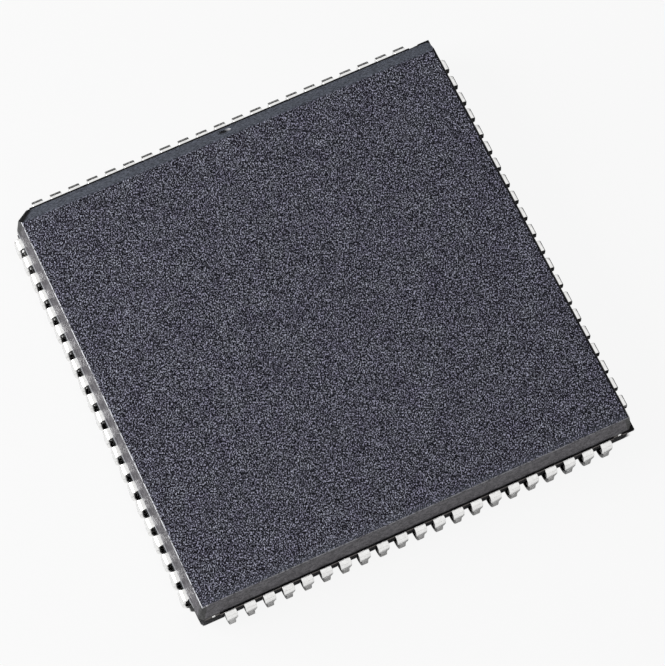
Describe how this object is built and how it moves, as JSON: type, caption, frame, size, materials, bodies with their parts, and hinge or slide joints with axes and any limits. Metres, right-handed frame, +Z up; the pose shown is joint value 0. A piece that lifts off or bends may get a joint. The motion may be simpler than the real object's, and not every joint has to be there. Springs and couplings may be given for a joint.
{
  "type": "plastic leaded chip carrier",
  "caption": "Square surface-mount chip in a bevelled dark moulded body, with J-shaped tinned leads curling under all four sides for soldering or for a socket.",
  "frame": {"origin": "middle of the part on the seating plane, under the J feet of the leads", "axes": "+Z up through the top face, +Y towards the pin-one side, index corner at -X +Y"},
  "size_m": [0.0302, 0.0302, 0.0044],
  "materials": {
    "moulding": "matte",
    "tinned_lead": "satin",
    "copper_frame": "satin",
    "die_adhesive": "matte",
    "silicon": "satin",
    "gold_wire": "satin"
  },
  "bodies": {
    "root": {"moulded_body": "moulding", "lead_row_front": "tinned_lead", "lead_row_left": "tinned_lead", "lead_row_back": "tinned_lead", "lead_row_right": "tinned_lead", "die_paddle": "copper_frame", "die_attach": "die_adhesive", "silicon_die": "silicon", "bond_wires_front": "gold_wire", "bond_wires_left": "gold_wire", "bond_wires_back": "gold_wire", "bond_wires_right": "gold_wire"}
  },
  "joints": []
}
